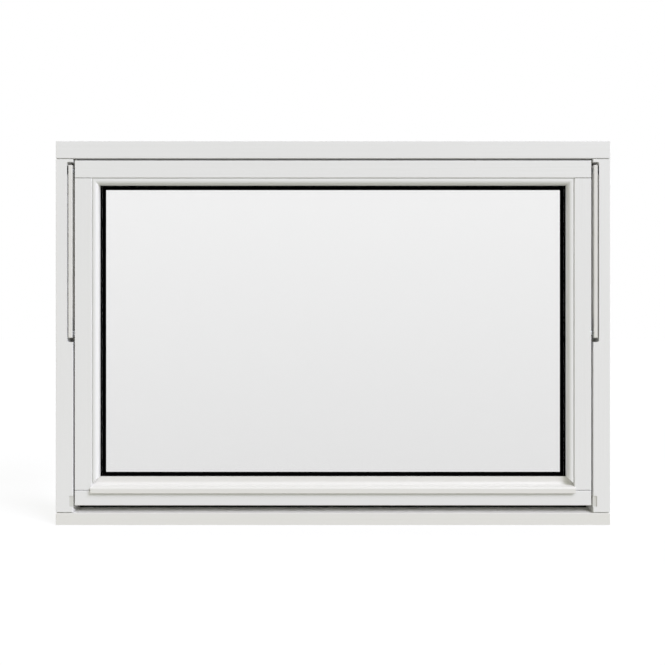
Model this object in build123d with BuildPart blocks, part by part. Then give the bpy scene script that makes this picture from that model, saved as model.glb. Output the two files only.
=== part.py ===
"""Top pivot window of painted timber: a fixed frame and an outward-opening sash on two hinge arms."""

import os
from math import cos, radians, tan

from build123d import *

# Frame: overall size, section and running gaps
FRAME_WIDTH = 1300.0
FRAME_HEIGHT = 900.0
FRAME_DEPTH = 105.0
HEAD_FACE = 40.5  # width of the head seen from outside
JAMB_FACE = 40.0
JAMB_GAP = 4.4  # sash edge to jamb
HEAD_GAP = 5.0  # sash edge to head
STOP_LAP = 13.0  # how far the frame stop reaches behind the sash
ARRIS = 1.2  # easing of the painted timber edges
END_EASE = 1.2  # easing of the cut ends at the front
REVEAL_EASE = 3.0  # easing of the room-side edges
HEAD_JOINT = 1.8  # shadow groove where a jamb meets the head
SILL_JOINT = 2.8  # shadow groove where a jamb meets the sill
SASH_TOP_JOINT = 1.4  # shadow groove where a stile meets the top rail
SASH_FOOT_JOINT = 2.3  # shadow groove where a stile meets the bottom rail
JOINT_DEPTH = 5.0
DRIP_GROOVE = 4.0  # width and depth of the drip grooves
DRIP_SETBACK = 8.0  # front face to drip groove

# Sill: weathered top and drained gap under the sash
SILL_FRONT = 27.3
SILL_SLOPE = 8.0  # degrees
SILL_DRAIN_GAP = 18.4  # sill front edge to sash underside

# Sash: members, glazing rebate and sealed unit
SASH_THICKNESS = 60.0
SEAL_GAP = 5.0  # sash back to frame stop
STILE_FACE = 39.6
TOP_RAIL_FACE = 40.5
BOTTOM_RAIL_FACE = 34.2
BOTTOM_SEAT_RISE = 15.7  # bottom rail front edge to glazing seat
BEAD_WIDTH = 15.3
BEAD_CREST = 3.5  # flat beside the quirk
QUIRK_WIDTH = 3.0  # shadow groove between sash and bead
QUIRK_DEPTH = 3.0
GLASS_SETBACK = 20.0  # sash face to outer pane
GASKET = 3.0
GASKET_LIP = 1.0  # gasket showing past the bead
GASKET_COVER = 2.0  # gasket edge to rebate wall
TAPE = 3.0
TAPE_COVER = 6.0  # tape edge to rebate wall
PANE = 4.0
CAVITY = 20.0
EDGE_CLEARANCE = 5.0
EDGE_SEAL = 7.0
SPACER = 8.7
SETTING_BLOCK_LENGTH = 100.0

# Drip bead along the bottom of the glass
NOSE_PROJECTION = 6.5
NOSE_HEIGHT = 13.4
NOSE_DROP = 4.9  # nose underside below the rail's front edge
NOSE_CLEARANCE = 1.5  # nose back to sash face
NOSE_OVERRUN = 1.0  # nose end past the rebate
NOSE_RADIUS = 4.0
NOSE_ARRIS = 1.0
NOSE_COVE = 8.0
NOSE_SLOPE = 15.0  # degrees
DRIP_LIP = 3.5  # lip between cove and gasket
NOSE_GROOVE_SETBACK = 2.2  # nose front to drip groove
NOSE_GROOVE = 2.5
LEDGE_SLOPE = 14.0  # degrees

# Weather seals in the frame stop and under the sash
SEAL_WIDTH = 8.0
SEAL_CROWN = 4.0
SEAL_SHOULDER = 2.0
KERF_WIDTH = 3.0
KERF_DEPTH = 6.0
FOOT_SEAL_SETBACK = 37.0  # front face to the middle of the foot seal
FOOT_SEAL_WIDTH = 5.0
FOOT_SEAL_TIP = 3.0
FOOT_SEAL_CLEARANCE = 0.3  # tip to weathered sill

# Hinge arm and its slot in the jamb
SLOT_WIDTH = 13.8
SLOT_DEPTH = 34.0
SLOT_CORNER = 3.5
SLOT_TOP_DROP = 3.5  # slot top below sash top
SLOT_TOP_CLEARANCE = 6.5
SLOT_FOOT_CLEARANCE = 9.3
ARM_THICKNESS = 9.2
ARM_WIDTH = 24.0
ARM_SETBACK = 1.0  # front face to arm
ARM_WALL_CLEARANCE = 2.6
ARM_END = 12.0  # pivot to arm end
ARM_ARRIS = 1.0
ARM_CHAMFER = 2.5
PIVOT_RADIUS = 4.0
PIVOT_CLEARANCE = 0.2
PIVOT_COLLAR_RADIUS = 7.0
PIVOT_HEAD = 1.5
PLATE_THICKNESS = 3.0
PLATE_CORNER = 4.0
FRAME_PLATE_LENGTH = 22.0
SASH_PLATE_LENGTH = 70.0

# Guide track in the jamb and the shoe that runs in it
TRACK_SETBACK = 42.0
TRACK_WIDTH = 14.0
TRACK_DEPTH = 10.0
TRACK_WALL = 1.5
TRACK_MOUTH = 7.0
TRACK_FOOT = 30.0  # track foot above sash underside
TRACK_HEAD = 8.0  # track head below sash top
SHOE_CLEARANCE = 0.25
SHOE_LENGTH = 40.0
SHOE_PLATE_GAP = 4.0  # shoe plate below the top rail
SHOE_NECK_LENGTH = 20.0
SHOE_PLATE_LENGTH = 52.0

# Guide block let into the foot of the jamb
BLOCK_WIDTH = 9.0
BLOCK_HEIGHT = 25.8
BLOCK_DEPTH = 30.0
BLOCK_DROP = 3.2  # block foot below sash underside
BLOCK_SETBACK = 1.5
BLOCK_PROUD = 0.5
BLOCK_CORNER = 2.5

# Handle on the room side of the bottom rail
ROSE_LENGTH = 66.0
ROSE_WIDTH = 28.0
ROSE_THICKNESS = 9.0
ROSE_CORNER = 6.0
ROSE_EASE = 2.0
NECK_RADIUS = 8.0
NECK_LENGTH = 25.0
LEVER_LENGTH = 112.0
LEVER_THICKNESS = 10.0
LEVER_ROOT_RADIUS = 10.0
LEVER_TIP_RADIUS = 7.0
LEVER_EASE = 3.0

# Fixing holes through the jambs
FIXING_RADIUS = 7.0
FIXING_SPACING = 600.0

# Where the members meet: widths and heights
half_width = FRAME_WIDTH / 2
jamb_x = half_width - JAMB_FACE
sash_x = jamb_x - JAMB_GAP
stop_x = sash_x - STOP_LAP
rebate_x = sash_x - STILE_FACE
light_x = rebate_x - BEAD_WIDTH
head_z = FRAME_HEIGHT - HEAD_FACE
sash_top = head_z - HEAD_GAP
head_stop_z = sash_top - STOP_LAP
sash_foot = SILL_FRONT + SILL_DRAIN_GAP
sill_stop_z = sash_foot + STOP_LAP
rebate_top = sash_top - TOP_RAIL_FACE
light_top = rebate_top - BEAD_WIDTH
ledge_z = sash_foot + BOTTOM_RAIL_FACE
seat_z = ledge_z + BOTTOM_SEAT_RISE
light_foot = seat_z + BEAD_WIDTH
pivot_low_z = (sash_top + sash_foot) / 2
slot_top = sash_top - SLOT_TOP_DROP
arm_top = slot_top - SLOT_TOP_CLEARANCE
pivot_high_z = arm_top - ARM_END
arm_foot = pivot_low_z - ARM_END
slot_foot = arm_foot - SLOT_FOOT_CLEARANCE

# Depths behind the front face
stop_depth = SASH_THICKNESS + SEAL_GAP
bead_depth = GLASS_SETBACK - GASKET
cavity_depth = GLASS_SETBACK + PANE
inner_pane_depth = cavity_depth + CAVITY
tape_depth = inner_pane_depth + PANE
lip_depth = tape_depth + TAPE
pivot_depth = ARM_SETBACK + ARM_WIDTH / 2
fixing_depth = (stop_depth + FRAME_DEPTH) / 2


def deep(depth):
    """Y of a point at this depth behind the front face."""
    return depth - FRAME_DEPTH / 2


def closed(plane, points, eased=()):
    """Closed outline on a plane; each eased corner comes with its radius."""
    with BuildSketch(plane) as outline:
        with BuildLine():
            Polyline(*points, close=True)
        make_face()
        for corner, radius in eased:
            fillet(outline.vertices().sort_by_distance(Vector(*corner))[0], radius)
    return outline.sketch


def across(points, x, eased=()):
    """Section of a level member, as depth and height, at this x."""
    deepened = [(deep(d), z) for d, z in points]
    return closed(Plane.YZ.offset(x), deepened, [((deep(d), z), radius) for (d, z), radius in eased])


def upright(points, z, eased=()):
    """Section of an upright member, as x and depth, at this height."""
    deepened = [(x, deep(d)) for x, d in points]
    return closed(Plane.XY.offset(z), deepened, [((x, deep(d)), radius) for (x, d), radius in eased])


def elevation(points, depth, eased=()):
    """Outline seen from the front, as x and height, at this depth; its normal faces outside."""
    return closed(Plane.XZ.offset(-deep(depth)), points, eased)


def joint(z, width, slope=0.0):
    """Section of the shadow groove that starts at this height of the front face and follows a slope."""
    rise = JOINT_DEPTH * tan(radians(slope))
    return [(0, z), (JOINT_DEPTH, z + rise), (JOINT_DEPTH, z + rise + width), (0, z + width)]


def box_across(x0, x1, d0, d1, z0, z1):
    """Plain level bar between two x, two depths and two heights."""
    section = across([(d0, z0), (d1, z0), (d1, z1), (d0, z1)], x0)
    return extrude(section, amount=x1 - x0, mode=Mode.PRIVATE)


def ring(x_out, foot_out, top_out, x_in, foot_in, top_in, d0, d1):
    """Rectangular ring around the glass between two depths."""
    with BuildSketch(Plane.XZ.offset(-deep(d1))) as outline:
        with Locations((0, (foot_out + top_out) / 2)):
            Rectangle(2 * x_out, top_out - foot_out)
        with Locations((0, (foot_in + top_in) / 2)):
            Rectangle(2 * x_in, top_in - foot_in, mode=Mode.SUBTRACT)
    return extrude(outline.sketch, amount=d1 - d0, mode=Mode.PRIVATE)


def ease_ends(member, x_end, radius):
    """Rounds the front edges of a level member's two cut ends."""
    front = member.edges().filter_by(Axis.Z).group_by(Axis.Y)[0]
    ends = [e for e in front if abs(abs(e.center().X) - x_end) < radius]
    fillet(ends, radius)


def pin(x0, x1, depth, z, radius):
    """Round pin along x."""
    with BuildSketch(Plane.YZ.offset(min(x0, x1))) as disc:
        with Locations((deep(depth), z)):
            Circle(radius)
    return extrude(disc.sketch, amount=abs(x1 - x0), mode=Mode.PRIVATE)


def plate(x0, x1, depth, width, z, length):
    """Flat plate facing x, with rounded corners."""
    with BuildSketch(Plane.YZ.offset(x0)) as outline:
        with Locations((deep(depth), z)):
            RectangleRounded(width, length, min(PLATE_CORNER, width / 3, length / 3))
    return extrude(outline.sketch, amount=x1 - x0, mode=Mode.PRIVATE)


# Outlines of the level members before easing, also used to scribe the uprights onto them
head_outline = [
    (0, FRAME_HEIGHT),
    (0, head_z),
    (stop_depth, head_z),
    (stop_depth, head_stop_z),
    (FRAME_DEPTH, head_stop_z),
    (FRAME_DEPTH, FRAME_HEIGHT),
]
sill_back_z = SILL_FRONT + stop_depth * tan(radians(SILL_SLOPE))
sill_outline = [
    (0, 0),
    (0, SILL_FRONT),
    (stop_depth, sill_back_z),
    (stop_depth, sill_stop_z),
    (FRAME_DEPTH, sill_stop_z),
    (FRAME_DEPTH, 0),
]
top_rail_outline = [
    (0, sash_top),
    (0, rebate_top),
    (lip_depth, rebate_top),
    (lip_depth, light_top),
    (SASH_THICKNESS, light_top),
    (SASH_THICKNESS, sash_top),
]
ledge_back_z = ledge_z + bead_depth * tan(radians(LEDGE_SLOPE))
bottom_rail_outline = [
    (0, sash_foot),
    (0, ledge_z),
    (bead_depth, ledge_back_z),
    (bead_depth, seat_z),
    (lip_depth, seat_z),
    (lip_depth, light_foot),
    (SASH_THICKNESS, light_foot),
    (SASH_THICKNESS, sash_foot),
]
seal_head_z = sash_top - STOP_LAP / 2
seal_sill_z = sash_foot + STOP_LAP / 2
seal_x = sash_x - STOP_LAP / 2

# Head of the frame
with BuildPart() as frame_head:
    eased = [((0, FRAME_HEIGHT), ARRIS), ((0, head_z), ARRIS)]
    extrude(across(head_outline, -half_width, eased), amount=FRAME_WIDTH)
    kerf = (seal_head_z - KERF_WIDTH / 2, seal_head_z + KERF_WIDTH / 2)
    add(box_across(-half_width, half_width, stop_depth, stop_depth + KERF_DEPTH, *kerf), mode=Mode.SUBTRACT)
    groove = (DRIP_SETBACK, DRIP_SETBACK + DRIP_GROOVE, head_z, head_z + DRIP_GROOVE)
    add(box_across(-jamb_x, jamb_x, *groove), mode=Mode.SUBTRACT)
    ease_ends(frame_head, half_width, END_EASE)
    fillet(frame_head.edges().filter_by(Axis.X).group_by(Axis.Y)[-1].group_by(Axis.Z)[0], REVEAL_EASE)

# Sill with its weathered top
with BuildPart() as frame_sill:
    extrude(across(sill_outline, -half_width, [((0, SILL_FRONT), ARRIS)]), amount=FRAME_WIDTH)
    kerf = (seal_sill_z - KERF_WIDTH / 2, seal_sill_z + KERF_WIDTH / 2)
    add(box_across(-half_width, half_width, stop_depth, stop_depth + KERF_DEPTH, *kerf), mode=Mode.SUBTRACT)
    groove = (DRIP_SETBACK, DRIP_SETBACK + DRIP_GROOVE, 0, DRIP_GROOVE)
    add(box_across(-half_width, half_width, *groove), mode=Mode.SUBTRACT)
    ease_ends(frame_sill, half_width, END_EASE)
    fillet(frame_sill.edges().filter_by(Axis.X).group_by(Axis.Y)[-1].group_by(Axis.Z)[-1], REVEAL_EASE)

# Left jamb, scribed between head and sill, with arm slot, track groove, block pocket and fixing holes
jamb_outline = [
    (-half_width, 0),
    (-jamb_x, 0),
    (-jamb_x, stop_depth),
    (-stop_x, stop_depth),
    (-stop_x, FRAME_DEPTH),
    (-half_width, FRAME_DEPTH),
]
slot_wall_x = jamb_x + SLOT_WIDTH
slot_outline = [
    (-slot_wall_x, slot_foot),
    (-jamb_x, slot_foot),
    (-jamb_x, slot_top),
    (-slot_wall_x, slot_top),
]
frame_plate = (pivot_depth, ARM_WIDTH, pivot_high_z, FRAME_PLATE_LENGTH)
block_foot = sash_foot - BLOCK_DROP
block_top = block_foot + BLOCK_HEIGHT
block_wall_x = jamb_x + BLOCK_WIDTH
track_foot = sash_foot + TRACK_FOOT
track_head = sash_top - TRACK_HEAD
track_depths = (TRACK_SETBACK, TRACK_SETBACK + TRACK_WIDTH)


def block_outline(x_inner):
    """Elevation of the guide block or its pocket, out to this x on the sash side."""
    return [
        (-block_wall_x, block_foot),
        (-x_inner, block_foot),
        (-x_inner, block_top),
        (-block_wall_x, block_top),
    ]


def outer_corners(outline, radius):
    """First and last corner of an outline, with their radius."""
    return [(outline[0], radius), (outline[-1], radius)]


with BuildPart() as left_jamb:
    eased = [((-half_width, 0), ARRIS), ((-jamb_x, 0), ARRIS)]
    extrude(upright(jamb_outline, 0, eased), amount=FRAME_HEIGHT)
    fillet(left_jamb.edges().filter_by(Axis.Z).group_by(Axis.Y)[-1].group_by(Axis.X)[-1], REVEAL_EASE)
    extrude(across(head_outline, -half_width), amount=half_width, mode=Mode.SUBTRACT)
    extrude(across(sill_outline, -half_width), amount=half_width, mode=Mode.SUBTRACT)
    head_joint = joint(head_z - HEAD_JOINT, HEAD_JOINT)
    sill_joint = joint(SILL_FRONT, SILL_JOINT, SILL_SLOPE)
    for groove in (head_joint, sill_joint):
        extrude(across(groove, -half_width), amount=half_width, mode=Mode.SUBTRACT)
    kerf = [
        (-seal_x - KERF_WIDTH / 2, stop_depth),
        (-seal_x + KERF_WIDTH / 2, stop_depth),
        (-seal_x + KERF_WIDTH / 2, stop_depth + KERF_DEPTH),
        (-seal_x - KERF_WIDTH / 2, stop_depth + KERF_DEPTH),
    ]
    extrude(upright(kerf, 0), amount=FRAME_HEIGHT, mode=Mode.SUBTRACT)
    slot = elevation(slot_outline, SLOT_DEPTH, outer_corners(slot_outline, SLOT_CORNER))
    extrude(slot, amount=SLOT_DEPTH, mode=Mode.SUBTRACT)
    add(plate(-slot_wall_x - PLATE_THICKNESS, -slot_wall_x, *frame_plate), mode=Mode.SUBTRACT)
    pocket_outline = block_outline(jamb_x)
    pocket = elevation(pocket_outline, BLOCK_DEPTH, outer_corners(pocket_outline, BLOCK_CORNER))
    extrude(pocket, amount=BLOCK_DEPTH, mode=Mode.SUBTRACT)
    track_groove = box_across(-jamb_x - TRACK_DEPTH, -jamb_x, *track_depths, track_foot, track_head)
    add(track_groove, mode=Mode.SUBTRACT)
    for offset in (-FIXING_SPACING / 2, FIXING_SPACING / 2):
        hole = pin(-half_width, -stop_x, fixing_depth, FRAME_HEIGHT / 2 + offset, FIXING_RADIUS)
        add(hole, mode=Mode.SUBTRACT)

# Top rail of the sash
with BuildPart() as sash_top_rail:
    eased = [((0, sash_top), ARRIS), ((0, rebate_top), ARRIS)]
    extrude(across(top_rail_outline, -sash_x, eased), amount=2 * sash_x)
    ease_ends(sash_top_rail, sash_x, END_EASE)
    fillet(sash_top_rail.edges().filter_by(Axis.X).group_by(Axis.Y)[-1].group_by(Axis.Z)[0], REVEAL_EASE)

# Bottom rail of the sash with its drip groove and the kerf of the foot seal
foot_kerf = (
    FOOT_SEAL_SETBACK - KERF_WIDTH / 2,
    FOOT_SEAL_SETBACK + KERF_WIDTH / 2,
    sash_foot,
    sash_foot + KERF_DEPTH,
)
with BuildPart() as sash_bottom_rail:
    eased = [((0, sash_foot), ARRIS), ((0, ledge_z), ARRIS)]
    extrude(across(bottom_rail_outline, -sash_x, eased), amount=2 * sash_x)
    groove = (DRIP_SETBACK, DRIP_SETBACK + DRIP_GROOVE, sash_foot, sash_foot + DRIP_GROOVE)
    add(box_across(-sash_x, sash_x, *groove), mode=Mode.SUBTRACT)
    add(box_across(-sash_x, sash_x, *foot_kerf), mode=Mode.SUBTRACT)
    ease_ends(sash_bottom_rail, sash_x, END_EASE)
    fillet(sash_bottom_rail.edges().filter_by(Axis.X).group_by(Axis.Y)[-1].group_by(Axis.Z)[-1], REVEAL_EASE)

# Left stile, scribed between the rails, with seats for the pivot plate and the shoe plate
stile_outline = [
    (-sash_x, 0),
    (-rebate_x, 0),
    (-rebate_x, lip_depth),
    (-light_x, lip_depth),
    (-light_x, SASH_THICKNESS),
    (-sash_x, SASH_THICKNESS),
]
shoe_z = light_top - SHOE_PLATE_GAP - SHOE_PLATE_LENGTH / 2
shoe_depth = TRACK_SETBACK + TRACK_WIDTH / 2
seat_inner_x = -sash_x + PLATE_THICKNESS
sash_plate = (pivot_depth, ARM_WIDTH, pivot_low_z, SASH_PLATE_LENGTH)
shoe_plate = (shoe_depth, TRACK_WIDTH, shoe_z, SHOE_PLATE_LENGTH)
with BuildPart() as left_stile:
    eased = [((-sash_x, 0), ARRIS), ((-rebate_x, 0), ARRIS)]
    extrude(upright(stile_outline, sash_foot, eased), amount=sash_top - sash_foot)
    fillet(left_stile.edges().filter_by(Axis.Z).group_by(Axis.Y)[-1].group_by(Axis.X)[-1], REVEAL_EASE)
    extrude(across(top_rail_outline, -sash_x), amount=sash_x, mode=Mode.SUBTRACT)
    extrude(across(bottom_rail_outline, -sash_x), amount=sash_x, mode=Mode.SUBTRACT)
    top_joint = joint(rebate_top - SASH_TOP_JOINT, SASH_TOP_JOINT)
    bottom_joint = joint(ledge_z, SASH_FOOT_JOINT, LEDGE_SLOPE)
    for groove in (top_joint, bottom_joint):
        extrude(across(groove, -sash_x), amount=sash_x, mode=Mode.SUBTRACT)
    for seat in (sash_plate, shoe_plate):
        add(plate(-sash_x, seat_inner_x, *seat), mode=Mode.SUBTRACT)


# Glazing beads: an ovolo with a quirk, mitred at the corners
ovolo = BEAD_WIDTH - QUIRK_WIDTH - BEAD_CREST
arc_middle = ovolo * cos(radians(45))


def bead_section(plane, place):
    """Section of a glazing bead; place turns inset and depth into plane coordinates."""
    with BuildSketch(plane) as outline:
        with BuildLine():
            Polyline(
                place(BEAD_WIDTH, ovolo),
                place(BEAD_WIDTH, bead_depth),
                place(0, bead_depth),
                place(0, QUIRK_DEPTH),
                place(QUIRK_WIDTH, QUIRK_DEPTH),
                place(QUIRK_WIDTH, 0),
                place(QUIRK_WIDTH + BEAD_CREST, 0),
            )
            ThreePointArc(
                place(QUIRK_WIDTH + BEAD_CREST, 0),
                place(QUIRK_WIDTH + BEAD_CREST + arc_middle, ovolo - arc_middle),
                place(BEAD_WIDTH, ovolo),
            )
        make_face()
        crest = outline.vertices().sort_by_distance(Vector(*place(QUIRK_WIDTH, 0)))[0]
        fillet(crest, min(ARRIS, BEAD_CREST / 2))
    return outline.sketch


def mitre(x, z, rise):
    """Plane through a rebate corner at 45 degrees, facing up for the upright bead's end."""
    return Plane(origin=(x, 0, z), x_dir=(0, 1, 0), z_dir=(1, 0, rise))


with BuildPart() as top_bead:
    extrude(
        bead_section(Plane.YZ.offset(-rebate_x), lambda inset, depth: (deep(depth), rebate_top - inset)),
        amount=2 * rebate_x,
    )
    split(bisect_by=mitre(-rebate_x, rebate_top, 1), keep=Keep.TOP)
    split(bisect_by=mitre(rebate_x, rebate_top, -1), keep=Keep.BOTTOM)

with BuildPart() as left_bead:
    extrude(
        bead_section(Plane.XY.offset(seat_z), lambda inset, depth: (inset - rebate_x, deep(depth))),
        amount=rebate_top - seat_z,
    )
    split(bisect_by=mitre(-rebate_x, rebate_top, 1), keep=Keep.BOTTOM)
    split(bisect_by=mitre(-rebate_x, seat_z, -1), keep=Keep.BOTTOM)

# Drip bead: a lip against the gasket, a cove and a weathered slope out to a projecting nose
nose_foot = ledge_z - NOSE_DROP
nose_top = nose_foot + NOSE_HEIGHT
nose_back_z = ledge_z - NOSE_CLEARANCE * tan(radians(LEDGE_SLOPE))
drip_lip = bead_depth - DRIP_LIP
cove_z = nose_top + (NOSE_PROJECTION + drip_lip) * tan(radians(NOSE_SLOPE))
nose_slope_z = nose_top + (NOSE_PROJECTION - NOSE_CLEARANCE) * tan(radians(NOSE_SLOPE))
cove_half_turn = radians(90 - NOSE_SLOPE) / 2
cove_radius = min(NOSE_COVE, (light_foot - cove_z) / tan(cove_half_turn))
nose_end_x = rebate_x + NOSE_OVERRUN
nose_outline = [
    (-NOSE_PROJECTION, nose_top),
    (-NOSE_PROJECTION, nose_foot),
    (-NOSE_CLEARANCE, nose_foot),
    (-NOSE_CLEARANCE, nose_slope_z),
]
drip_outline = [
    (bead_depth, light_foot),
    (drip_lip, light_foot),
    (drip_lip, cove_z),
    (-NOSE_PROJECTION, nose_top),
    (-NOSE_PROJECTION, nose_foot),
    (-NOSE_CLEARANCE, nose_foot),
    (-NOSE_CLEARANCE, nose_back_z),
    (bead_depth, ledge_back_z),
]
with BuildPart() as bottom_drip_bead:
    nose_eased = [((-NOSE_PROJECTION, nose_top), NOSE_RADIUS), ((-NOSE_PROJECTION, nose_foot), NOSE_ARRIS)]
    cove = ((drip_lip, cove_z), cove_radius)
    extrude(across(drip_outline, -rebate_x, [cove, *nose_eased]), amount=2 * rebate_x)
    extrude(across(nose_outline, -nose_end_x, nose_eased), amount=2 * nose_end_x)
    groove_front = NOSE_GROOVE_SETBACK - NOSE_PROJECTION
    groove = (groove_front, groove_front + NOSE_GROOVE, nose_foot, nose_foot + NOSE_GROOVE)
    add(box_across(-nose_end_x, nose_end_x, *groove), mode=Mode.SUBTRACT)
    for side in (-1, 1):
        corner = [
            (side * rebate_x, seat_z),
            (side * light_x, light_foot),
            (side * rebate_x, light_foot),
        ]
        over = elevation(corner, bead_depth)
        extrude(over, amount=bead_depth + NOSE_PROJECTION, mode=Mode.SUBTRACT)

# Sealed double glazing unit and what beds it
glass_x = rebate_x - EDGE_CLEARANCE
glass_foot = seat_z + EDGE_CLEARANCE
glass_top = rebate_top - EDGE_CLEARANCE
spacer_x = glass_x - EDGE_SEAL
spacer_foot = glass_foot + EDGE_SEAL
spacer_top = glass_top - EDGE_SEAL
sight_x = spacer_x - SPACER
sight_foot = spacer_foot + SPACER
sight_top = spacer_top - SPACER
with BuildPart() as outer_pane:
    add(box_across(-glass_x, glass_x, GLASS_SETBACK, cavity_depth, glass_foot, glass_top))
with BuildPart() as inner_pane:
    add(box_across(-glass_x, glass_x, inner_pane_depth, tape_depth, glass_foot, glass_top))
with BuildPart() as edge_seal:
    seal_ring = (glass_x, glass_foot, glass_top, spacer_x, spacer_foot, spacer_top)
    add(ring(*seal_ring, cavity_depth, inner_pane_depth))
with BuildPart() as spacer_frame:
    spacer_ring = (spacer_x, spacer_foot, spacer_top, sight_x, sight_foot, sight_top)
    add(ring(*spacer_ring, cavity_depth, inner_pane_depth))
with BuildPart() as outer_gasket:
    gasket_out = (rebate_x - GASKET_COVER, seat_z + GASKET_COVER, rebate_top - GASKET_COVER)
    gasket_in = (light_x - GASKET_LIP, light_foot + GASKET_LIP, light_top - GASKET_LIP)
    add(ring(*gasket_out, *gasket_in, bead_depth, GLASS_SETBACK))
with BuildPart() as inner_tape:
    tape_out = (rebate_x - TAPE_COVER, seat_z + TAPE_COVER, rebate_top - TAPE_COVER)
    add(ring(*tape_out, light_x, light_foot, light_top, tape_depth, lip_depth))
with BuildPart() as setting_blocks:
    for side in (-1, 1):
        start = side * glass_x / 2 - SETTING_BLOCK_LENGTH / 2
        block = (start, start + SETTING_BLOCK_LENGTH, GLASS_SETBACK, tape_depth, seat_z, glass_foot)
        add(box_across(*block))

# Weather seals pressed into the kerfs of the frame stop
seal_bulb = [
    (-SEAL_WIDTH / 2, stop_depth),
    (-SEAL_WIDTH / 2, stop_depth - SEAL_SHOULDER),
    (-SEAL_CROWN / 2, SASH_THICKNESS),
    (SEAL_CROWN / 2, SASH_THICKNESS),
    (SEAL_WIDTH / 2, stop_depth - SEAL_SHOULDER),
    (SEAL_WIDTH / 2, stop_depth),
]
seal_stem = [
    (-KERF_WIDTH / 2, stop_depth),
    (KERF_WIDTH / 2, stop_depth),
    (KERF_WIDTH / 2, stop_depth + KERF_DEPTH),
    (-KERF_WIDTH / 2, stop_depth + KERF_DEPTH),
]
seal_end_x = seal_x + SEAL_WIDTH / 2


def level_seal(z):
    """Bulb and stem of a seal along x at this height."""
    for outline in (seal_bulb, seal_stem):
        extrude(across([(d, z + s) for s, d in outline], -seal_end_x), amount=2 * seal_end_x)


with BuildPart() as head_seal:
    level_seal(seal_head_z)
with BuildPart() as sill_seal:
    level_seal(seal_sill_z)
with BuildPart() as left_seal:
    bulb_foot = seal_sill_z + SEAL_WIDTH / 2
    bulb_length = seal_head_z - SEAL_WIDTH / 2 - bulb_foot
    extrude(upright([(s - seal_x, d) for s, d in seal_bulb], bulb_foot), amount=bulb_length)
    stem = upright([(s - seal_x, d) for s, d in seal_stem], sill_stop_z)
    extrude(stem, amount=head_stop_z - sill_stop_z)

# Foot seal: a tapered fin from a kerf under the sash down to the weathered sill
fin_back = FOOT_SEAL_SETBACK + FOOT_SEAL_TIP / 2
fin_foot = SILL_FRONT + fin_back * tan(radians(SILL_SLOPE)) + FOOT_SEAL_CLEARANCE
fin_outline = [
    (FOOT_SEAL_SETBACK - FOOT_SEAL_WIDTH / 2, sash_foot),
    (FOOT_SEAL_SETBACK - FOOT_SEAL_TIP / 2, fin_foot),
    (fin_back, fin_foot),
    (FOOT_SEAL_SETBACK + FOOT_SEAL_WIDTH / 2, sash_foot),
]
with BuildPart() as sash_foot_seal:
    extrude(across(fin_outline, -sash_x), amount=2 * sash_x)
    add(box_across(-sash_x, sash_x, *foot_kerf))

# Hinge arm in its slot, with an eye at each end
arm_outer_x = -slot_wall_x + ARM_WALL_CLEARANCE
arm_inner_x = arm_outer_x + ARM_THICKNESS
arm_back = ARM_SETBACK + ARM_WIDTH
arm_outline = [
    (ARM_SETBACK, arm_foot),
    (ARM_SETBACK, arm_top),
    (arm_back, arm_top),
    (arm_back, arm_foot),
]
with BuildPart() as left_hinge_arm:
    eased = [(corner, ARM_CHAMFER) for corner in arm_outline]
    extrude(across(arm_outline, arm_outer_x, eased), amount=ARM_THICKNESS)
    chamfer(left_hinge_arm.faces().sort_by(Axis.X)[0].edges(), ARM_ARRIS)
    chamfer(left_hinge_arm.faces().sort_by(Axis.X)[-1].edges(), ARM_ARRIS)
    for eye_z in (pivot_low_z, pivot_high_z):
        eye = pin(arm_outer_x, arm_inner_x, pivot_depth, eye_z, PIVOT_RADIUS + PIVOT_CLEARANCE)
        add(eye, mode=Mode.SUBTRACT)

# Frame pivot: plate let into the slot wall, pin and head
with BuildPart() as left_frame_pivot:
    add(plate(-slot_wall_x - PLATE_THICKNESS, -slot_wall_x, *frame_plate))
    pin_end_x = arm_inner_x + PIVOT_CLEARANCE + PIVOT_HEAD
    add(pin(-slot_wall_x, pin_end_x, pivot_depth, pivot_high_z, PIVOT_RADIUS))
    add(pin(pin_end_x - PIVOT_HEAD, pin_end_x, pivot_depth, pivot_high_z, PIVOT_COLLAR_RADIUS))

# Sash pivot: plate let into the stile edge, collar and pin through the arm
with BuildPart() as left_sash_pivot:
    add(plate(-sash_x, seat_inner_x, *sash_plate))
    add(pin(-sash_x, arm_inner_x + PIVOT_CLEARANCE, pivot_depth, pivot_low_z, PIVOT_COLLAR_RADIUS))
    add(pin(-sash_x, arm_outer_x, pivot_depth, pivot_low_z, PIVOT_RADIUS))

# Guide track: an aluminium channel with a narrow mouth
track_outer_x = -jamb_x - TRACK_DEPTH
mouth_depth = (TRACK_WIDTH - TRACK_MOUTH) / 2
with BuildPart() as left_guide_track:
    add(box_across(track_outer_x, -jamb_x, *track_depths, track_foot, track_head))
    hollow = (track_depths[0] + TRACK_WALL, track_depths[1] - TRACK_WALL, track_foot, track_head)
    add(box_across(track_outer_x + TRACK_WALL, -jamb_x - TRACK_WALL, *hollow), mode=Mode.SUBTRACT)
    mouth = (track_depths[0] + mouth_depth, track_depths[1] - mouth_depth, track_foot, track_head)
    add(box_across(-jamb_x - TRACK_WALL, -jamb_x, *mouth), mode=Mode.SUBTRACT)

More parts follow.
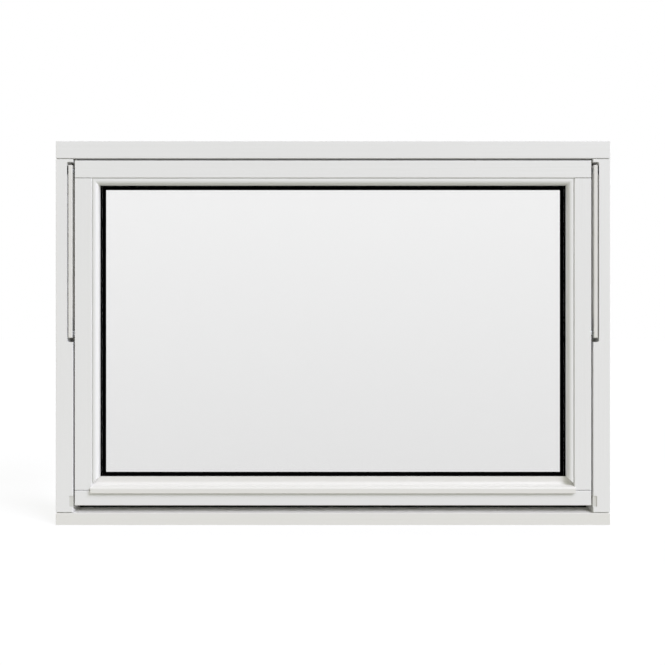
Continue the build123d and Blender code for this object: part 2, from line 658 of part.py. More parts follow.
# Shoe on the sash: plate let into the stile edge, neck through the mouth and runner in the track
with BuildPart() as left_guide_shoe:
    add(plate(-sash_x, seat_inner_x, *shoe_plate))
    inset = TRACK_WALL + SHOE_CLEARANCE
    runner_ends = (shoe_z - SHOE_LENGTH / 2, shoe_z + SHOE_LENGTH / 2)
    runner = (track_depths[0] + inset, track_depths[1] - inset, *runner_ends)
    add(box_across(track_outer_x + inset, -jamb_x - inset, *runner))
    neck_inset = mouth_depth + SHOE_CLEARANCE
    neck_ends = (shoe_z - SHOE_NECK_LENGTH / 2, shoe_z + SHOE_NECK_LENGTH / 2)
    neck = (track_depths[0] + neck_inset, track_depths[1] - neck_inset, *neck_ends)
    add(box_across(-jamb_x - inset, -sash_x, *neck))

# Guide block in its pocket
with BuildPart() as left_guide_block:
    block_points = block_outline(jamb_x - BLOCK_PROUD)
    block_face = elevation(block_points, BLOCK_DEPTH, outer_corners(block_points, BLOCK_CORNER))
    extrude(block_face, amount=BLOCK_DEPTH - BLOCK_SETBACK)

# Handle on the bottom rail
handle_z = (sill_stop_z + light_foot) / 2
rose_depth = SASH_THICKNESS + ROSE_THICKNESS
lever_depth = rose_depth + NECK_LENGTH
with BuildPart() as handle_rose:
    with BuildSketch(Plane.XZ.offset(-deep(rose_depth))):
        with Locations((0, handle_z)):
            RectangleRounded(ROSE_LENGTH, ROSE_WIDTH, ROSE_CORNER)
    extrude(amount=ROSE_THICKNESS)
    chamfer(handle_rose.faces().sort_by(Axis.Y)[-1].edges(), ROSE_EASE)
with BuildPart() as handle_lever:
    with BuildSketch(Plane.XZ.offset(-deep(lever_depth + LEVER_THICKNESS))) as lever_outline:
        with Locations((0, handle_z)):
            Circle(LEVER_ROOT_RADIUS)
        with Locations((LEVER_LENGTH, handle_z)):
            Circle(LEVER_TIP_RADIUS)
        make_hull()
    extrude(amount=LEVER_THICKNESS)
    for face in (handle_lever.faces().sort_by(Axis.Y)[0], handle_lever.faces().sort_by(Axis.Y)[-1]):
        chamfer(face.edges(), LEVER_EASE)
    with BuildSketch(Plane.XZ.offset(-deep(lever_depth))):
        with Locations((0, handle_z)):
            Circle(NECK_RADIUS)
    extrude(amount=NECK_LENGTH)
    with BuildSketch(Plane.XZ.offset(-deep(lever_depth + LEVER_EASE))):
        with Locations((0, handle_z)):
            Circle(NECK_RADIUS)
    extrude(amount=LEVER_EASE)

# Pieces of the middle and of the left side, and the right side as their mirror image
pieces = {
    "frame_head": frame_head,
    "frame_sill": frame_sill,
    "sash_top_rail": sash_top_rail,
    "sash_bottom_rail": sash_bottom_rail,
    "top_bead": top_bead,
    "bottom_drip_bead": bottom_drip_bead,
    "outer_pane": outer_pane,
    "inner_pane": inner_pane,
    "edge_seal": edge_seal,
    "spacer_frame": spacer_frame,
    "outer_gasket": outer_gasket,
    "inner_tape": inner_tape,
    "setting_blocks": setting_blocks,
    "head_seal": head_seal,
    "sill_seal": sill_seal,
    "sash_foot_seal": sash_foot_seal,
    "handle_rose": handle_rose,
    "handle_lever": handle_lever,
}
left_pieces = {
    "jamb": left_jamb,
    "stile": left_stile,
    "bead": left_bead,
    "seal": left_seal,
    "hinge_arm": left_hinge_arm,
    "frame_pivot": left_frame_pivot,
    "sash_pivot": left_sash_pivot,
    "guide_track": left_guide_track,
    "guide_shoe": left_guide_shoe,
    "guide_block": left_guide_block,
}
for name, left in left_pieces.items():
    with BuildPart() as right:
        mirror(left.part, about=Plane.YZ)
    pieces["left_" + name] = left
    pieces["right_" + name] = right

os.makedirs("parts", exist_ok=True)
for name, piece in pieces.items():
    piece.part.label = name
    export_step(piece.part, f"parts/{name}.step")
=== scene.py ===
"""Looks of the top pivot window: painted timber, sealed glazing, hinge arms and a plain studio."""

import logging
import math
from dataclasses import dataclass
from enum import Enum
from typing import Any, Iterable

import bpy
import bmesh
from mathutils import Matrix, Vector


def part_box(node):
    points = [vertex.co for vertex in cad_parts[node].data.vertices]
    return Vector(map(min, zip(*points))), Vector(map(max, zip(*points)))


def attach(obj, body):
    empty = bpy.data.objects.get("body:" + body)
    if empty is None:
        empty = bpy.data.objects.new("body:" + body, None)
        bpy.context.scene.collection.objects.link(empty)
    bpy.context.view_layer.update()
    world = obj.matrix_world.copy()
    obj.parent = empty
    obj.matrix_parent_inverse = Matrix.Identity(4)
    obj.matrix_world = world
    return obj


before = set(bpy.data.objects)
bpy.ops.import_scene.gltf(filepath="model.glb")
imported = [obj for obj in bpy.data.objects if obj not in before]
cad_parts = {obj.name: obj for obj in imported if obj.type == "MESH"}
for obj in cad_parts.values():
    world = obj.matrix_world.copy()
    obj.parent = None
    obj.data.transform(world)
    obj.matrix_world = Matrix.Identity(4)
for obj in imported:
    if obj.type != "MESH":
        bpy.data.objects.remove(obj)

LOG = logging.getLogger("top_pivot_window")
MM = 0.001
IMAGE_SIDE_PX = 665
ROOT = "root"
WHITE = (1.0, 1.0, 1.0, 1.0)

# A ray whose count of mirrorings is above this was mirrored at least once.
ONE_BOUNCE = 0.5

# How many finer layers a noise has.
FINE_LAYERS = 2.0
STREAK_LAYERS = 3.0

# Some sockets share a name, so they go by number: those of the Mix node and of the Random Value node.
MIX_FACTOR, MIX_A, MIX_B, MIX_COLOUR_A, MIX_COLOUR_B = 0, 2, 3, 6, 7
MIXED, MIXED_COLOUR = 0, 2
RANDOM_LEAST, RANDOM_MOST, RANDOM_VALUE = 2, 3, 1


class Grain(Enum):
    """Which way a member's grain, or a metal's streaks, run."""

    LEVEL = "X"
    UPRIGHT = "Z"

    def stretch(self, width_mm: float, length_mm: float) -> tuple[float, float, float]:
        """Scales for a noise whose features lie along this direction.

        Args:
            width_mm: Width of a feature.
            length_mm: Length of a feature.

        Returns:
            Scale along X, Y and Z.
        """
        across, along = per_metre(width_mm), per_metre(length_mm)
        return (along, across, across) if self is Grain.LEVEL else (across, across, along)


class Side(Enum):
    """Side of the window, seen from outside."""

    LEFT = "left"
    RIGHT = "right"


def both(piece: str) -> list[str]:
    """Names of the left and right solid of a paired piece."""
    return [f"{side.value}_{piece}" for side in Side]


def linear(hex_colour: str) -> tuple[float, float, float, float]:
    """Turns an sRGB hex colour into linear RGBA.

    Args:
        hex_colour: Six hex digits.

    Returns:
        Linear red, green and blue with alpha 1.
    """
    channels = (int(hex_colour[i : i + 2], 16) / 255 for i in (0, 2, 4))
    values = [c / 12.92 if c <= 0.04045 else ((c + 0.055) / 1.055) ** 2.4 for c in channels]
    return (values[0], values[1], values[2], 1.0)


def put(
    tree: bpy.types.NodeTree,
    kind: str,
    values: dict[Any, Any] | None = None,
    **settings: Any,
) -> bpy.types.Node:
    """Adds a node, sets it up and links what feeds it.

    Args:
        tree: Node tree that gets the node.
        kind: Blender's name of the node type.
        values: Input name or number to a plain value, or to the socket that feeds it.
        settings: Attributes of the node itself.

    Returns:
        The new node.
    """
    made = tree.nodes.new(kind)
    for name, value in settings.items():
        setattr(made, name, value)
    for key, value in (values or {}).items():
        if isinstance(value, bpy.types.NodeSocket):
            tree.links.new(value, made.inputs[key])
        else:
            made.inputs[key].default_value = value
    return made


def per_metre(size_mm: float) -> float:
    """Noise scale whose features are about this many millimetres across."""
    return 1.0 / (size_mm * MM)


@dataclass(frozen=True)
class Finish:
    """A material: what it is and how its surface was made."""

    name: str
    colour: str
    roughness: float

    def blank(self) -> tuple[bpy.types.Material, bpy.types.NodeTree, bpy.types.Node]:
        """Starts the material.

        Returns:
            The material, its node tree and the output node.
        """
        material = bpy.data.materials.new(self.name)
        material.use_nodes = True
        tree = material.node_tree
        tree.nodes.clear()
        return material, tree, put(tree, "ShaderNodeOutputMaterial")

    def build(self) -> bpy.types.Material:
        """Makes the material's nodes."""
        raise NotImplementedError


@dataclass(frozen=True)
class PaintedPine(Finish):
    """Planed pine sprayed with satin white paint.

    To the eye it is an even, soft white. Low light shows the grain as faint ridges along the member and a
    slight orange peel, and the gloss varies a little from place to place.
    """

    grain: Grain = Grain.LEVEL
    index: float = 1.5
    # Growth rings are about 2 mm apart. They are drawn wider, because finer ridges don't show in the render.
    grain_width_mm: float = 5.0
    grain_length_mm: float = 220.0
    grain_rise_mm: float = 0.25
    # Orange peel is 1 to 3 mm across, and is drawn coarser for the same reason.
    peel_mm: float = 4.0
    peel_rise_mm: float = 0.06
    gloss_spread: float = 0.05
    # Patches about a hand long where the paint is a little thinner.
    patch_mm: float = 240.0
    patch_spread: float = 0.012

    def build(self) -> bpy.types.Material:
        """Makes the paint with its grain running along the member.

        Returns:
            The material.
        """
        material, tree, output = self.blank()
        place = put(tree, "ShaderNodeTexCoord").outputs["Object"]
        scale = self.grain.stretch(self.grain_width_mm, self.grain_length_mm)
        stretched = put(tree, "ShaderNodeMapping", {"Vector": place, "Scale": scale}).outputs["Vector"]
        grain = put(
            tree,
            "ShaderNodeTexNoise",
            {"Vector": stretched, "Scale": 1.0, "Detail": STREAK_LAYERS},
        ).outputs["Fac"]
        peel = put(
            tree,
            "ShaderNodeTexNoise",
            {"Vector": place, "Scale": per_metre(self.peel_mm), "Detail": FINE_LAYERS},
        ).outputs["Fac"]
        patch = put(
            tree,
            "ShaderNodeTexNoise",
            {"Vector": place, "Scale": per_metre(self.patch_mm), "Detail": FINE_LAYERS},
        ).outputs["Fac"]
        shade = put(
            tree,
            "ShaderNodeMapRange",
            {"Value": patch, "To Min": 1.0 - self.patch_spread, "To Max": 1.0},
        ).outputs["Result"]
        paint = put(
            tree,
            "ShaderNodeMix",
            {MIX_FACTOR: 1.0, MIX_COLOUR_A: linear(self.colour), MIX_COLOUR_B: shade},
            data_type="RGBA",
            blend_type="MULTIPLY",
        ).outputs[MIXED_COLOUR]
        rough = put(
            tree,
            "ShaderNodeMapRange",
            {
                "Value": peel,
                "To Min": self.roughness - self.gloss_spread,
                "To Max": self.roughness + self.gloss_spread,
            },
        ).outputs["Result"]
        dimpled = put(
            tree,
            "ShaderNodeBump",
            {"Distance": self.peel_rise_mm * MM, "Height": peel},
        ).outputs["Normal"]
        ridged = put(
            tree,
            "ShaderNodeBump",
            {"Distance": self.grain_rise_mm * MM, "Height": grain, "Normal": dimpled},
        ).outputs["Normal"]
        surface = put(
            tree,
            "ShaderNodeBsdfPrincipled",
            {"Base Color": paint, "Roughness": rough, "Normal": ridged, "IOR": self.index},
        )
        tree.links.new(surface.outputs["BSDF"], output.inputs["Surface"])
        return material


@dataclass(frozen=True)
class FloatGlass(Finish):
    """Clear float glass: to the eye smooth and colourless, with a faint gleam at a slant.

    Lamps shine straight through it.
    """

    # Float glass has an index of about 1.52. This one is lower, to match how bright the panes look.
    index: float = 1.46

    def build(self) -> bpy.types.Material:
        """Makes clear glass that passes lamp light straight through.

        Returns:
            The material.
        """
        material, tree, output = self.blank()
        glass = put(
            tree,
            "ShaderNodeBsdfPrincipled",
            {
                "Base Color": linear(self.colour),
                "Roughness": self.roughness,
                "IOR": self.index,
                "Transmission Weight": 1.0,
            },
        )
        clear = put(tree, "ShaderNodeBsdfTransparent", {"Color": linear(self.colour)})
        path = put(tree, "ShaderNodeLightPath")
        unlit = put(
            tree,
            "ShaderNodeMath",
            {0: path.outputs["Is Shadow Ray"], 1: path.outputs["Is Diffuse Ray"]},
            operation="MAXIMUM",
        )
        pane = put(
            tree,
            "ShaderNodeMixShader",
            {0: unlit.outputs["Value"], 1: glass.outputs["BSDF"], 2: clear.outputs["BSDF"]},
        )
        tree.links.new(pane.outputs["Shader"], output.inputs["Surface"])
        return material


@dataclass(frozen=True)
class Moulded(Finish):
    """Moulded or extruded plastic, rubber or powder coat: to the eye an even tone with a fine, dull texture.

    The real texture is 0.1 to 0.5 mm across. It is drawn coarser, so that it shows in a close view.
    """

    texture_mm: float = 0.8
    texture_rise_mm: float = 0.02
    mottle: float = 0.06
    shine: float = 0.5

    def build(self) -> bpy.types.Material:
        """Makes an even, finely textured surface.

        Returns:
            The material.
        """
        material, tree, output = self.blank()
        place = put(tree, "ShaderNodeTexCoord").outputs["Object"]
        fine = put(
            tree,
            "ShaderNodeTexNoise",
            {"Vector": place, "Scale": per_metre(self.texture_mm), "Detail": FINE_LAYERS},
        ).outputs["Fac"]
        shade = put(
            tree,
            "ShaderNodeMapRange",
            {"Value": fine, "To Min": 1.0 - self.mottle, "To Max": 1.0},
        ).outputs["Result"]
        tone = put(
            tree,
            "ShaderNodeMix",
            {MIX_FACTOR: 1.0, MIX_COLOUR_A: linear(self.colour), MIX_COLOUR_B: shade},
            data_type="RGBA",
            blend_type="MULTIPLY",
        ).outputs[MIXED_COLOUR]
        textured = put(
            tree,
            "ShaderNodeBump",
            {"Distance": self.texture_rise_mm * MM, "Height": fine},
        ).outputs["Normal"]
        surface = put(
            tree,
            "ShaderNodeBsdfPrincipled",
            {
                "Base Color": tone,
                "Roughness": self.roughness,
                "Specular IOR Level": self.shine,
                "Normal": textured,
            },
        )
        tree.links.new(surface.outputs["BSDF"], output.inputs["Surface"])
        return material


@dataclass(frozen=True)
class DrawnMetal(Finish):
    """Metal drawn, brushed or plated: to the eye a soft gloss broken by fine streaks along one axis.

    Real brush marks are under 0.1 mm wide. They are drawn wider, so that they show in a close view.
    """

    streak: Grain = Grain.UPRIGHT
    streak_mm: float = 0.5
    streak_length_mm: float = 30.0
    streak_rise_mm: float = 0.006
    gloss_spread: float = 0.08

    def build(self) -> bpy.types.Material:
        """Makes a metal with fine streaks.

        Returns:
            The material.
        """
        material, tree, output = self.blank()
        place = put(tree, "ShaderNodeTexCoord").outputs["Object"]
        scale = self.streak.stretch(self.streak_mm, self.streak_length_mm)
        stretched = put(tree, "ShaderNodeMapping", {"Vector": place, "Scale": scale}).outputs["Vector"]
        streaks = put(
            tree,
            "ShaderNodeTexNoise",
            {"Vector": stretched, "Scale": 1.0, "Detail": STREAK_LAYERS},
        ).outputs["Fac"]
        rough = put(
            tree,
            "ShaderNodeMapRange",
            {
                "Value": streaks,
                "To Min": self.roughness - self.gloss_spread,
                "To Max": self.roughness + self.gloss_spread,
            },
        ).outputs["Result"]
        brushed = put(
            tree,
            "ShaderNodeBump",
            {"Distance": self.streak_rise_mm * MM, "Height": streaks},
        ).outputs["Normal"]
        surface = put(
            tree,
            "ShaderNodeBsdfPrincipled",
            {"Base Color": linear(self.colour), "Metallic": 1.0, "Roughness": rough, "Normal": brushed},
        )
        tree.links.new(surface.outputs["BSDF"], output.inputs["Surface"])
        return material


def dress_solids(names: Iterable[str], finish: Finish) -> None:
    """Gives the named solids a finish.

    Args:
        names: Names of solids in the frame.
        finish: What they are made of.
    """
    material = finish.build()
    for name in names:
        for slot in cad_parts[name].material_slots:
            slot.material = material
        LOG.info("%s: %s", name, finish.name)


@dataclass
class TimberFrame:
    """Fixed frame of head, jambs and sill. The sill's white is a touch warmer."""

    white: str = "E2E2E1"
    sill_white: str = "DEDDD9"
    gloss: float = 0.45

    def dress(self) -> None:
        """Paints the frame, with the grain along each member."""
        dress_solids(["frame_head"], PaintedPine("white_paint_on_pine_head", self.white, self.gloss))
        dress_solids(["frame_sill"], PaintedPine("white_paint_on_pine_sill", self.sill_white, self.gloss))
        jamb = PaintedPine("white_paint_on_pine_jamb", self.white, self.gloss, Grain.UPRIGHT)
        dress_solids(both("jamb"), jamb)


@dataclass
class Sash:
    """Sash of rails and stiles with its glazing beads. The drip bead has the sill's warmer white."""

    white: str = "E2E2E1"
    drip_white: str = "DEDDD9"
    gloss: float = 0.45

    def dress(self) -> None:
        """Paints the sash and its beads, with the grain along each member."""
        rail = PaintedPine("white_paint_on_pine_rail", self.white, self.gloss)
        dress_solids(["sash_top_rail", "sash_bottom_rail"], rail)
        stile = PaintedPine("white_paint_on_pine_stile", self.white, self.gloss, Grain.UPRIGHT)
        dress_solids(both("stile"), stile)
        dress_solids(["top_bead"], PaintedPine("white_paint_on_pine_bead", self.white, self.gloss))
        side_bead = PaintedPine("white_paint_on_pine_side_bead", self.white, self.gloss, Grain.UPRIGHT)
        dress_solids(both("bead"), side_bead)
        drip_bead = PaintedPine("white_paint_on_pine_drip_bead", self.drip_white, self.gloss)
        dress_solids(["bottom_drip_bead"], drip_bead)


@dataclass
class SealedUnit:
    """Double glazing with its spacer, edge seal, gasket, tape and setting blocks."""

    glass: str = "FFFFFF"
    black: str = "030303"
    packer_black: str = "101010"

    def dress(self) -> None:
        """Gives the unit clear panes and black edges."""
        finishes = {
            # Foamed composite with no gleam, so that the unit's edge reads as one dead-black line.
            "spacer_frame": Moulded(
                "black_foamed_composite_spacer",
                self.black,
                roughness=0.9,
                texture_mm=0.5,
                texture_rise_mm=0.01,
                shine=0.0,
            ),
            # Gunned sealant and soft gasket: black with a trace of sheen.
            "edge_seal": Moulded(
                "black_polysulphide_sealant",
                self.black,
                roughness=0.9,
                texture_mm=1.5,
                texture_rise_mm=0.03,
                shine=0.1,
            ),
            "outer_gasket": Moulded(
                "black_extruded_gasket",
                self.black,
                roughness=0.8,
                texture_mm=0.6,
                texture_rise_mm=0.01,
                shine=0.02,
            ),
            # Open-pored foam, with the deepest texture of the black edges.
            "inner_tape": Moulded(
                "black_foam_tape",
                self.black,
                roughness=0.9,
                texture_mm=1.0,
                texture_rise_mm=0.05,
            ),
            # Hard moulded plastic: a shade paler and shinier than the soft edges.
            "setting_blocks": Moulded("black_moulded_packer", self.packer_black, roughness=0.5),
        }
        pane = FloatGlass("clear_float_glass", self.glass, roughness=0.0)
        dress_solids(["outer_pane", "inner_pane"], pane)
        for name, finish in finishes.items():
            dress_solids([name], finish)


@dataclass
class AssemblyScrews:
    """Countersunk screws that hold head and jambs together, seen on top of the head."""

    head_radius_mm: float = 4.4
    head_rise_mm: float = 0.5
    crown_share: float = 0.82
    recess_mm: float = 1.9
    recess_length_share: float = 2.0
    recess_width_share: float = 0.45
    end_inset_mm: float = 20.0
    rows_mm: tuple[float, float] = (-30.0, 33.0)
    facets: int = 20
    seed: int = 7
    zinc: str = "B4B7B9"

    def tree(self, material: bpy.types.Material) -> bpy.types.NodeTree:
        """Builds the node tree that sets one screw head on every point.

        Args:
            material: Finish of the screws.

        Returns:
            The node tree, with named inputs for the head's sizes.
        """
        tree = bpy.data.node_groups.new("screw_heads_on_points", "GeometryNodeTree")
        tree.interface.new_socket("Geometry", in_out="INPUT", socket_type="NodeSocketGeometry")
        for name in ("Head Radius", "Head Rise", "Recess"):
            tree.interface.new_socket(name, in_out="INPUT", socket_type="NodeSocketFloat")
        tree.interface.new_socket("Geometry", in_out="OUTPUT", socket_type="NodeSocketGeometry")
        given = put(tree, "NodeGroupInput").outputs
        rise = given["Head Rise"]
        crown, length, width = (
            put(tree, "ShaderNodeMath", {0: given[size], 1: share}, operation="MULTIPLY").outputs["Value"]
            for size, share in (
                ("Head Radius", self.crown_share),
                ("Recess", self.recess_length_share),
                ("Recess", self.recess_width_share),
            )
        )
        disc = put(
            tree,
            "GeometryNodeMeshCone",
            {
                "Vertices": self.facets,
                "Radius Bottom": given["Head Radius"],
                "Radius Top": crown,
                "Depth": rise,
            },
        )
        cut = put(
            tree,
            "GeometryNodeMeshBoolean",
            {"Mesh 1": disc.outputs["Mesh"]},
            operation="DIFFERENCE",
            solver="EXACT",
        )
        lift = put(tree, "ShaderNodeCombineXYZ", {"Z": rise}).outputs["Vector"]
        for across, along in ((length, width), (width, length)):
            size = put(tree, "ShaderNodeCombineXYZ", {"X": across, "Y": along, "Z": rise}).outputs["Vector"]
            bar = put(tree, "GeometryNodeMeshCube", {"Size": size}).outputs["Mesh"]
            raised = put(tree, "GeometryNodeTransform", {"Geometry": bar, "Translation": lift})
            tree.links.new(raised.outputs["Geometry"], cut.inputs["Mesh 2"])
        turn = put(
            tree,
            "FunctionNodeRandomValue",
            {"Seed": self.seed, RANDOM_LEAST: 0.0, RANDOM_MOST: math.pi / 2},
            data_type="FLOAT",
        ).outputs[RANDOM_VALUE]
        spin = put(tree, "ShaderNodeCombineXYZ", {"Z": turn}).outputs["Vector"]
        placed = put(
            tree,
            "GeometryNodeInstanceOnPoints",
            {"Points": given["Geometry"], "Instance": cut.outputs["Mesh"], "Rotation": spin},
        )
        solid = put(tree, "GeometryNodeRealizeInstances", {"Geometry": placed.outputs["Instances"]})
        dressed = put(
            tree,
            "GeometryNodeSetMaterial",
            {"Geometry": solid.outputs["Geometry"], "Material": material},
        )
        put(tree, "NodeGroupOutput", {"Geometry": dressed.outputs["Geometry"]})
        return tree

    def points(self) -> bpy.types.Object:
        """Marks where the screws sit on the head's top.

        Returns:
            An object with one vertex for each screw, linked into the scene.
        """
        low, high = (Vector(corner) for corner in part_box("frame_head"))
        ends = (low.x + self.end_inset_mm * MM, high.x - self.end_inset_mm * MM)
        mesh = bpy.data.meshes.new("screw_points")
        mesh.from_pydata([(x, y * MM, high.z) for x in ends for y in self.rows_mm], [], [])
        holder = bpy.data.objects.new("screw_points", mesh)
        bpy.context.scene.collection.objects.link(holder)
        return holder

    def dress(self) -> None:
        """Sets the screws on the head's top and makes them one plain mesh."""
        holder = self.points()
        # Zinc plate on small heads: specks of bluish grey metal in the white paint.
        tree = self.tree(DrawnMetal("zinc_plated_screw_steel", self.zinc, roughness=0.35).build())
        modifier = holder.modifiers.new("screw_heads", "NODES")
        modifier.node_group = tree
        sizes_mm = {
            "Head Radius": self.head_radius_mm,
            "Head Rise": self.head_rise_mm,
            "Recess": self.recess_mm,
        }
        for item in tree.interface.items_tree:
            if item.in_out == "INPUT" and item.name in sizes_mm:
                modifier[item.identifier] = sizes_mm[item.name] * MM
        evaluated = holder.evaluated_get(bpy.context.evaluated_depsgraph_get())
        made = bpy.data.meshes.new_from_object(evaluated)
        holder.modifiers.remove(modifier)
        bpy.data.objects.remove(holder)
        screws = bpy.data.objects.new("head_assembly_screws", made)
        bpy.context.scene.collection.objects.link(screws)
        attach(screws, ROOT)
        LOG.info("head_assembly_screws: %d faces", len(made.polygons))


@dataclass
class WeatherSeals:
    """Rubber seals in the frame stop and under the sash."""

    black: str = "0B0B0B"

    def dress(self) -> None:
        """Gives the seals extruded rubber: a soft, matt black that shows only as dark lines in the gaps."""
        # Besides being rubber, the seal under the sash serves as painted shade: its black darkens the gap
        # below the sash.
        names = ["head_seal", "sill_seal", "sash_foot_seal", *both("seal")]
        dress_solids(names, Moulded("black_extruded_rubber", self.black, roughness=0.7, texture_mm=0.6))


@dataclass
class HingeGear:
    """Arms, pivots, tracks, shoes and guide blocks."""

    arm_white: str = "DEDDD9"
    zinc: str = "B9BCBE"
    track_silver: str = "C9CBCD"
    shoe_white: str = "D9D8D3"
    # The block's grey is darker than the nylon's own: painted shade of the pocket the block sits in.
    block_grey_with_pocket_shade: str = "D0D0CB"

    def dress(self) -> None:
        """Gives each fitting its own finish."""
        finishes = {
            # Powder coat: an even warm white with a slight orange peel.
            "hinge_arm": Moulded(
                "white_powder_coated_steel",
                self.arm_white,
                roughness=0.4,
                texture_mm=1.2,
                mottle=0.02,
            ),
            # Zinc plate: a bluish grey, half-bright metal.
            "frame_pivot": DrawnMetal("zinc_plated_frame_pivot", self.zinc, roughness=0.35),
            "sash_pivot": DrawnMetal("zinc_plated_sash_pivot", self.zinc, roughness=0.35),
            # Anodised extrusion: a paler, duller metal with drawing lines along it.
            "guide_track": DrawnMetal("anodised_aluminium_track", self.track_silver, roughness=0.4),
            # Moulded plastics: acetal with a slippery gloss, nylon duller and greyer. The nylon's grey is
            # also painted shade, darkened to stand for the shade in the block's pocket.
            "guide_shoe": Moulded("white_moulded_acetal", self.shoe_white, roughness=0.4, mottle=0.03),
            "guide_block": Moulded("grey_nylon_with_painted_pocket_shade", self.block_grey_with_pocket_shade, roughness=0.5, mottle=0.04),
        }
        for piece, finish in finishes.items():
            dress_solids(both(piece), finish)


@dataclass
class Handle:
    """Handle on the room side of the bottom rail."""

    nickel: str = "C4C1BA"

    def dress(self) -> None:
        """Gives the handle satin nickel: a warm grey metal with a broad, soft highlight."""
        nickel = DrawnMetal("satin_nickel", self.nickel, roughness=0.3, streak=Grain.LEVEL)
        dress_solids(["handle_rose", "handle_lever"], nickel)


@dataclass(frozen=True)
class SoftLamp:
    """One very soft, even light.

    Its level is the brightness that it gives a white surface facing it. Its direction is from the window to
    the lamp, and its spread is how wide the lamp looks from there.
    """

    name: str
    level: float
    tint: tuple[float, float, float]
    towards: tuple[float, float, float]
    spread_deg: float
    shows_in_gloss: bool

    def hang(self) -> None:
        """Adds the lamp to the scene."""
        data = bpy.data.lights.new(self.name, "SUN")
        data.energy = math.pi * self.level
        data.color = self.tint
        data.angle = math.radians(self.spread_deg)
        lamp = bpy.data.objects.new(self.name, data)
        bpy.context.scene.collection.objects.link(lamp)
        lamp.rotation_euler = Vector(self.towards).to_track_quat("Z", "Y").to_euler()
        lamp.visible_transmission = False
        lamp.visible_glossy = self.shows_in_gloss


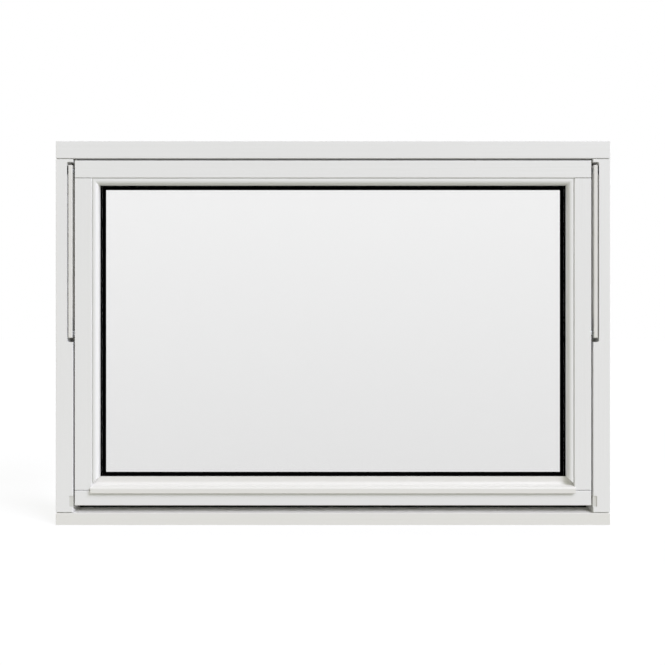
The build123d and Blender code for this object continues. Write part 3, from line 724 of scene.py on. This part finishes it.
@dataclass
class Studio:
    """Pale floor, soft light and the camera at the photo's view."""

    camera_distance_mm: float = 1650.0
    frame_at_face_mm: float = 1558.6
    face_y_mm: float = -52.5
    middle_z_mm: float = 450.0
    shift_px: tuple[float, float] = (-0.5, 0.47)
    sensor_mm: float = 36.0
    sight_m: float = 200.0
    # Light in the shade is a little warm and the lamps are a little cool. On the front they add up to white.
    ambient: float = 0.60
    ambient_tint: tuple[float, float, float] = (1.0, 1.0, 0.90)
    key: SoftLamp = SoftLamp("key_light", 0.77, (1.0, 1.0, 1.14), (0.58, -0.54, 0.61), 30.0, True)
    # So wide a lamp would show in the glass as a pale disc.
    fill: SoftLamp = SoftLamp("fill_light", 0.28, (1.0, 1.0, 1.27), (-0.45, 0.86, 0.24), 70.0, False)
    floor_half_m: float = 40.0
    floor_drop_mm: float = 0.5
    floor_white: str = "FAFAFA"
    floor_glow: float = 0.80
    # Painted shade in the glass: seen through it, the background is this bright low down, and white from this
    # slope upwards.
    glass_shade_low: float = 0.878
    glass_shade_slope: float = 0.18
    # Mirrors see the studio behind the camera go from white to black between these shares of straight ahead.
    dark_from: float = 0.74
    dark_to: float = 0.92

    def camera(self) -> None:
        """Sets the camera square to the window's face."""
        data = bpy.data.cameras.new("photo_camera")
        data.sensor_width = self.sensor_mm
        data.lens = self.sensor_mm * self.camera_distance_mm / self.frame_at_face_mm
        data.shift_x = self.shift_px[0] / IMAGE_SIDE_PX
        data.shift_y = self.shift_px[1] / IMAGE_SIDE_PX
        data.clip_end = self.sight_m
        camera = bpy.data.objects.new("photo_camera", data)
        bpy.context.scene.collection.objects.link(camera)
        camera.location = (0.0, (self.face_y_mm - self.camera_distance_mm) * MM, self.middle_z_mm * MM)
        camera.rotation_euler = (math.radians(90.0), 0.0, 0.0)
        bpy.context.scene.camera = camera

    def world(self) -> None:
        """Lights the studio evenly.

        The background is white. Seen through the glass it is painted shade, darker low down. The far end of
        the studio behind the camera is dark, so that the glass mirrors nothing bright towards the camera.
        """
        world = bpy.data.worlds.new("white_studio")
        world.use_nodes = True
        bpy.context.scene.world = world
        tree = world.node_tree
        tree.nodes.clear()
        path = put(tree, "ShaderNodeLightPath")
        towards = put(tree, "ShaderNodeTexCoord").outputs["Generated"]
        direction = put(tree, "ShaderNodeSeparateXYZ", {"Vector": towards})
        glass_shade = put(
            tree,
            "ShaderNodeMapRange",
            {
                "Value": direction.outputs["Z"],
                "From Min": -self.glass_shade_slope,
                "From Max": self.glass_shade_slope,
                "To Min": self.glass_shade_low,
                "To Max": 1.0,
            },
        ).outputs["Result"]
        mirrored = put(
            tree,
            "ShaderNodeMapRange",
            {
                "Value": direction.outputs["Y"],
                "From Min": -self.dark_to,
                "From Max": -self.dark_from,
                "To Min": 0.0,
                "To Max": 1.0,
            },
            interpolation_type="SMOOTHSTEP",
        ).outputs["Result"]
        # A ray mirrored in or between the panes leaves them as one passed through, but sees what mirrors see.
        bounces = {0: path.outputs["Glossy Depth"], 1: ONE_BOUNCE}
        bounced = put(tree, "ShaderNodeMath", bounces, operation="GREATER_THAN").outputs["Value"]
        choice = {MIX_FACTOR: bounced, MIX_A: glass_shade, MIX_B: mirrored}
        beyond = put(tree, "ShaderNodeMix", choice).outputs[MIXED]
        colour: Any = (*(self.ambient * share for share in self.ambient_tint), 1.0)
        for ray, level in (("Camera", WHITE), ("Glossy", mirrored), ("Transmission", beyond)):
            choice = {MIX_FACTOR: path.outputs[f"Is {ray} Ray"], MIX_COLOUR_A: colour, MIX_COLOUR_B: level}
            colour = put(tree, "ShaderNodeMix", choice, data_type="RGBA").outputs[MIXED_COLOUR]
        light = put(tree, "ShaderNodeBackground", {"Color": colour, "Strength": 1.0})
        put(tree, "ShaderNodeOutputWorld", {"Surface": light.outputs["Background"]})

    def floor(self) -> None:
        """Lays a pale floor that keeps the window's shadow."""
        mesh = bpy.data.meshes.new("studio_floor")
        grid = bmesh.new()
        bmesh.ops.create_grid(grid, x_segments=1, y_segments=1, size=self.floor_half_m)
        grid.to_mesh(mesh)
        grid.free()
        mesh.transform(Matrix.Translation((0.0, 0.0, -self.floor_drop_mm * MM)))
        card = bpy.data.objects.new("studio_floor", mesh)
        bpy.context.scene.collection.objects.link(card)
        card.visible_diffuse = False
        card.visible_glossy = False
        card.visible_transmission = False
        material = bpy.data.materials.new("pale_studio_floor")
        material.use_nodes = True
        tree = material.node_tree
        tree.nodes.clear()
        matt = put(tree, "ShaderNodeBsdfDiffuse", {"Color": linear(self.floor_white)})
        glow = put(tree, "ShaderNodeEmission", {"Color": WHITE, "Strength": 1.0})
        path = put(tree, "ShaderNodeLightPath")
        share = put(
            tree,
            "ShaderNodeMath",
            {0: path.outputs["Is Camera Ray"], 1: self.floor_glow},
            operation="MULTIPLY",
        )
        mixed = put(
            tree,
            "ShaderNodeMixShader",
            {0: share.outputs["Value"], 1: matt.outputs["BSDF"], 2: glow.outputs["Emission"]},
        )
        put(tree, "ShaderNodeOutputMaterial", {"Surface": mixed.outputs["Shader"]})
        mesh.materials.append(material)

    def build(self) -> None:
        """Sets up the whole studio, with light from the upper right and, for the room side, from behind."""
        bpy.context.scene.view_settings.view_transform = "Standard"
        self.camera()
        self.world()
        self.key.hang()
        self.fill.hang()
        self.floor()
        LOG.info("studio: camera, white background, two soft lamps and floor")


def main() -> None:
    """Dresses the window and sets up the studio."""
    logging.basicConfig(level=logging.INFO, format="%(name)s %(message)s")
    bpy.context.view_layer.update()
    assemblies = (
        TimberFrame(),
        Sash(),
        SealedUnit(),
        WeatherSeals(),
        HingeGear(),
        Handle(),
        AssemblyScrews(),
    )
    for assembly in assemblies:
        assembly.dress()
    Studio().build()


if __name__ == "__main__":
    main()
